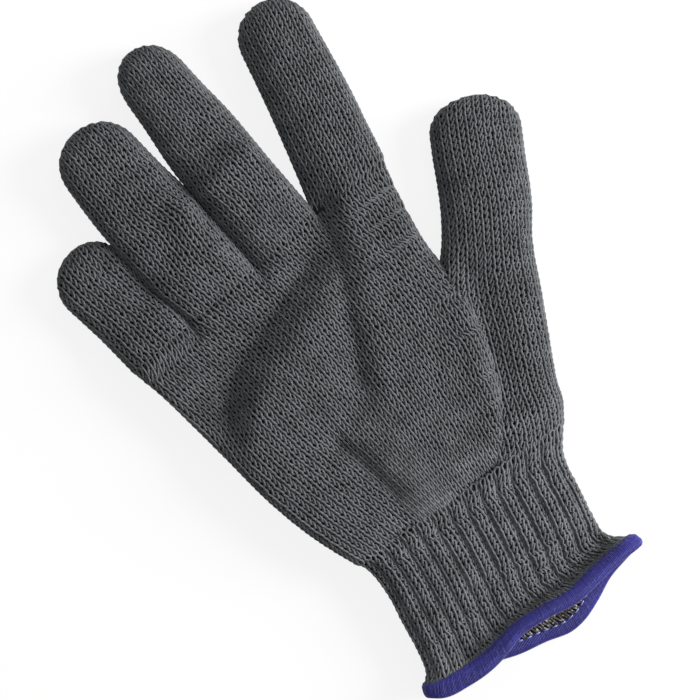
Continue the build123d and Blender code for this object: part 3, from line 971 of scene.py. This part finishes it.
class GLOVE_OT_palm(GloveOperator):
    """Knit the palm from the wrist up to the webs between the fingers"""

    bl_idname = "glove.palm"
    bl_label = "Palm"

    def execute(self, context):
        palm = palm_knit()
        start, split = course_at(palm, WRIST_BEND), course_at(palm, THUMB_ROOT[1])
        five = knit_piece("palm_five_finger_knit", [Stretch(palm, start, split, inside_thumb)],
                          grey_yarn(), seed=11)
        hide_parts("palm_five_finger")
        four = knit_piece("palm_four_finger_knit",
                          [Stretch(palm, split, palm.courses, inside_thumb)], grey_yarn(), seed=12)
        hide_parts("palm_four_finger")
        for piece in (five, four):
            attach(piece, "palm")
        return {"FINISHED"}


class GLOVE_OT_fingers(GloveOperator):
    """Knit the four fingers, each in three lengths, one round each of its creases"""

    bl_idname = "glove.fingers"
    bl_label = "Fingers"

    def execute(self, context):
        for number, name in enumerate(FINGERS):
            finger = finger_knit(name)
            bends = [f"{name}_root_bend", f"{name}_middle_bend", f"{name}_tip_bend"]
            bodies = ["palm", f"{name}_base", f"{name}_middle", f"{name}_tip"]
            heights = [joint_y(bend) for bend in bends]
            first = [0] + [course_at(finger, (a + b) / 2) for a, b in zip(heights, heights[1:])]
            last = first[1:] + [finger.courses + 1]
            short = min(b - a for a, b in zip(heights, heights[1:])) / 2
            for part, (bend, begin, end) in enumerate(zip(bends, first, last)):
                piece = knit_piece(f"{bodies[part + 1]}_knit", [Stretch(finger, begin, end)],
                                   grey_yarn(), seed=20 + 3 * number + part)
                room = min(FINGER_BEND_ROOM, short) if part else ROOT_BEND_ROOM
                bodies[part]
                bodies[part + 1]
                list(joint_span(bend, room))
                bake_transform(piece)
                knuckle = bend.replace("_bend", "_knuckle")
                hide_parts(bodies[part + 1], knuckle)
        return {"FINISHED"}


class GLOVE_OT_thumb(GloveOperator):
    """Knit the thumb and the gusset that joins it to the palm"""

    bl_idname = "glove.thumb"
    bl_label = "Thumb"

    def execute(self, context):
        thumb = thumb_knit()
        root_y, tip_y = joint_y("thumb_root_bend"), joint_y("thumb_tip_bend")
        start = course_at(thumb, WRIST_BEND)
        root = course_at(thumb, root_y - THUMB_BEND_ROOM)
        middle = course_at(thumb, (root_y + tip_y) / 2)
        gusset = knit_piece("thumb_gusset_knit", [Stretch(thumb, start, root, inside_palm)],
                            grey_yarn(), seed=41)
        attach(gusset, "palm")
        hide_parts("thumb_gusset")
        base = knit_piece("thumb_base_knit", [Stretch(thumb, root, middle, inside_palm)],
                          grey_yarn(), seed=42)
        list(joint_span("thumb_root_bend", THUMB_BEND_ROOM))
        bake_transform(base)
        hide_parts("thumb_base", "thumb_root_knuckle")
        tip = knit_piece("thumb_tip_knit", [Stretch(thumb, middle, thumb.courses + 1)],
                         grey_yarn(), seed=43)
        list(joint_span("thumb_tip_bend", THUMB_BEND_ROOM))
        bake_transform(tip)
        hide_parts("thumb_tip", "thumb_tip_knuckle")
        return {"FINISHED"}


class GLOVE_OT_wrist(GloveOperator):
    """Knit the wrist, where the ribs of the cuff run into the palm and the thumb's gusset"""

    bl_idname = "glove.wrist"
    bl_label = "Wrist"

    def execute(self, context):
        palm, thumb, cuff = palm_knit(), thumb_knit(), cuff_knit()
        parts = [Stretch(palm, 0, course_at(palm, WRIST_BEND), inside_thumb),
                 Stretch(thumb, 0, course_at(thumb, WRIST_BEND), inside_palm),
                 Stretch(cuff, course_at(cuff, -WRIST_BEND), cuff.courses, style=RIBBED)]
        piece = knit_piece("wrist_knit_yarn", parts, rib_yarn_painted_lighter(), seed=51)
        middle = Vector(JOINTS["wrist_bend"]["pos_m"])
        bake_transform(piece)
        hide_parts("wrist_knit")
        return {"FINISHED"}


class GLOVE_OT_cuff(GloveOperator):
    """Knit the ribbed cuff, the speckled rows on its inside and the elastic laid in it"""

    bl_idname = "glove.cuff"
    bl_label = "Cuff"

    def execute(self, context):
        cuff, sizes = cuff_knit(), settings()
        top = course_at(cuff, -WRIST_BEND)
        rib = knit_piece("rib_cuff_knit", [Stretch(cuff, 1, top, style=RIBBED)], rib_yarn_painted_lighter(),
                         seed=61)
        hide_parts("rib_cuff")
        dice = np.random.RandomState(62)
        knit = sizes.knit
        under = (knit.lining_depth + knit.lining_wall + knit.yarn) / MM + INSIDE_GAP
        lines = []
        for course in range(INSIDE_START, INSIDE_END):
            lines += course_lines(cuff, course, nowhere, dice, depth=under, front=-1.0)
        inside = thread_piece("cuff_inside_knit", lines, knit.yarn, plating_yarn())
        rings = []
        for row in range(ELASTIC_ROWS):
            course = float(np.interp(-ELASTIC_FIRST - row * ELASTIC_PITCH,
                                     (RIM_MIDDLE, WRIST_START), (0, cuff.courses)))
            ring = []
            for sheet, first, last in cuff.around(course):
                wale = np.linspace(first, last, COLUMNS_PER_WALE * abs(last - first),
                                   endpoint=False)
                place, normal = cuff.at(sheet, course, wale)
                ring.append(place - normal * (under + ELASTIC_GAP))
            rings.append((to_row(np.concatenate(ring)), True))
        elastic = thread_piece("cuff_elastic_yarn", rings, sizes.cuff.elastic / 2, elastic_yarn())
        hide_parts("cuff_elastic")
        for piece in (rib, inside, elastic):
            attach(piece, "cuff")
        return {"FINISHED"}


class GLOVE_OT_hem(GloveOperator):
    """Wrap the cuff's edge in blue overlock thread and sew it with the needle thread"""

    bl_idname = "glove.hem"
    bl_label = "Hem"

    def execute(self, context):
        cuff, sizes = cuff_knit(), settings().cuff
        dice = np.random.RandomState(71)
        band, course = sizes.hem_band / MM, sizes.course / MM
        left, right = cuff.counts(0)

        def height_at(sheet, wale):  # the hem is narrower in the middle of the mouth
            off = ((wale + left) / (left + right) - NARROW_MIDDLE) / NARROW_HALF
            return band * (1 - NARROWED[sheet] * np.exp(-off ** 4))

        def spots(pitch):  # evenly spaced places round the mouth, and the way round
            for sheet, first, last in cuff.around(0):
                count = int(abs(last - first) * RIM_WALE / pitch)
                for wale in np.linspace(first, last, count, endpoint=False):
                    yield sheet, wale, np.sign(last - first)

        wraps = []
        turn = np.linspace(0, 2 * pi, HEM_POINTS, endpoint=False)
        rise, out = (np.sign(v) * np.abs(v) ** HEM_SQUARE for v in (np.cos(turn), np.sin(turn)))
        for sheet, wale, _ in spots(sizes.hem_thread / MM * HEM_SPACING):
            tall = height_at(sheet, wale) * (1 + dice.normal(0, TALL_UNEVEN))
            along = (rise * (tall / 2 + HEM_PAST) + tall / 2 - HEM_OVER) / course
            place, normal = cuff.at(sheet, along, wale + rise * HEM_SLANT)
            depth = out * (HEM_HALF_THICK + dice.normal(0, THICK_UNEVEN)) - HEM_DEPTH
            wraps.append((to_row(place + normal * depth[:, None]), True))
        meshes = thread_mesh(wraps, sizes.hem_thread / 2), self.core(cuff, height_at, course)
        hem = make_piece("hem_overlock_thread", [(mesh, overlock_thread()) for mesh in meshes])
        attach(hem, "cuff")
        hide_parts("hem_overlock")
        stitches = []
        dash = np.linspace(0, 1, NEEDLE_POINTS)
        arch = -NEEDLE_DEPTH - NEEDLE_ARCH * np.sin(pi * dash)
        for sheet, start, way in spots(NEEDLE_PITCH):
            wale = start + way * dash * NEEDLE_PITCH * NEEDLE_SHARE / RIM_WALE
            height = height_at(sheet, wale) - NEEDLE_BACK
            place, normal = cuff.at(sheet, height / course, wale)
            stitches.append((to_row(place + normal * arch[:, None]), False))
        needle = thread_piece("hem_needle_stitches", stitches, sizes.needle_thread / 2,
                              needle_thread())
        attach(needle, "cuff")
        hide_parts("hem_needle_thread")
        return {"FINISHED"}

    def core(self, cuff, height_at, course):
        """The folded edge that the thread wraps, closed round the mouth."""
        def place(sheet, share, across):
            turn = across * 2 * pi
            _, first, last = cuff.around(0)[sheet]
            wale = first + share * (last - first)
            along = (np.cos(turn) * CORE_REACH + CORE_MIDDLE) / course
            found, normal = cuff.at(sheet, along * height_at(sheet, wale), wale)
            depth = np.sin(turn) * (HEM_HALF_THICK - CORE_INSET) - HEM_DEPTH
            return found + normal * depth[:, None]

        return wrapped_mesh(CORE_COLUMNS, CORE_ROWS, place, CORE_MERGE)


# ------------------------------------------------------------------ stage

def floor_white():
    """White that keeps shadows, with a little light of its own to the camera."""
    material = bpy.data.materials.new("white floor")
    material.use_nodes = True
    tree = material.node_tree
    tree.nodes.remove(tree.nodes["Principled BSDF"])
    rays = tree.nodes.new("ShaderNodeLightPath").outputs
    seen = add_node(tree, "Math", {0: rays["Is Camera Ray"], 1: rays["Is Glossy Ray"]},
                    operation="ADD", use_clamp=True)
    strength = add_node(tree, "Math", {0: seen, 1: FLOOR_GLOW}, operation="MULTIPLY")
    glow = add_node(tree, "Emission", {"Color": (1, 1, 1, 1), "Strength": strength})
    matt = add_node(tree, "BsdfDiffuse", {"Color": (FLOOR_GREY, FLOOR_GREY, FLOOR_GREY, 1)})
    both = add_node(tree, "AddShader", {0: matt, 1: glow})
    tree.links.new(both.outputs[0], tree.nodes["Material Output"].inputs["Surface"])
    return material


class GLOVE_OT_stage(GloveOperator):
    """Set the white floor, the soft lamps and the camera above the glove"""

    bl_idname = "glove.stage"
    bl_label = "Stage"

    def execute(self, context):
        bm = bmesh.new()
        bmesh.ops.create_grid(bm, x_segments=1, y_segments=1, size=FLOOR_HALF)
        floor = placed("floor", mesh_from(bm, "floor"))
        floor.data.materials.append(floor_white())
        floor.location.z = -FLOOR_DROP * MM

        world = bpy.data.worlds.new("white room")
        world.use_nodes = True
        context.scene.world = world
        tree = world.node_tree
        seen = tree.nodes.new("ShaderNodeLightPath").outputs["Is Camera Ray"]
        strength = add_node(tree, "MapRange", {"To Min": ROOM_LIGHT, "To Max": 1.0, "Value": seen})
        background = tree.nodes["Background"].inputs
        background["Color"].default_value = (1, 1, 1, 1)
        tree.links.new(strength.outputs[0], background["Strength"])

        for name, place, power in LAMPS:
            lamp = bpy.data.lights.new(name, "AREA")
            lamp.size = LAMP_SIZE
            lamp.energy = power
            holder = placed(name, lamp)
            holder.location = place
            holder.rotation_euler = (-Vector(place)).to_track_quat("-Z", "Y").to_euler()

        camera = bpy.data.cameras.new("camera")
        camera.sensor_width = SENSOR_WIDTH
        camera.lens = camera.sensor_width * (CAMERA_HEIGHT - VIEW_LEVEL * MM) / VIEW_WIDTH
        holder = placed("camera", camera)
        holder.location = (WRIST.x + VIEW_MIDDLE[0] * MM, WRIST.y + VIEW_MIDDLE[1] * MM,
                           CAMERA_HEIGHT)
        holder.rotation_euler = (0.0, 0.0, radians(-VIEW_ROLL))
        context.scene.camera = holder
        context.scene.view_settings.view_transform = "Standard"
        return {"FINISHED"}


class GLOVE_PT_panel(bpy.types.Panel):
    """All pieces of the glove, in the 3D view's sidebar."""

    bl_label = "Cut resistant glove"
    bl_space_type = "VIEW_3D"
    bl_region_type = "UI"
    bl_category = "Glove"

    def draw(self, context):
        for operator in OPERATORS:
            self.layout.operator(operator.bl_idname)
        for group in ("knit", "hand", "cuff", "colours"):
            box = self.layout.box()
            values = getattr(context.scene.glove, group)
            for key in values.__annotations__:
                box.prop(values, key)


OPERATORS = (GLOVE_OT_palm, GLOVE_OT_fingers, GLOVE_OT_thumb, GLOVE_OT_wrist, GLOVE_OT_cuff,
             GLOVE_OT_hem, GLOVE_OT_stage)
CLASSES = (GLOVE_PG_knit, GLOVE_PG_hand, GLOVE_PG_cuff, GLOVE_PG_colours, GLOVE_PG_settings,
           *OPERATORS, GLOVE_PT_panel)


def register():
    for part in CLASSES:
        bpy.utils.register_class(part)
    bpy.types.Scene.glove = PointerProperty(type=GLOVE_PG_settings)


def unregister():
    del bpy.types.Scene.glove
    for part in reversed(CLASSES):
        bpy.utils.unregister_class(part)


def main():
    register()
    bpy.ops.glove.palm()
    bpy.ops.glove.fingers()
    bpy.ops.glove.thumb()
    bpy.ops.glove.wrist()
    bpy.ops.glove.cuff()
    bpy.ops.glove.hem()
    bpy.ops.glove.stage()


if __name__ == "__main__":
    main()
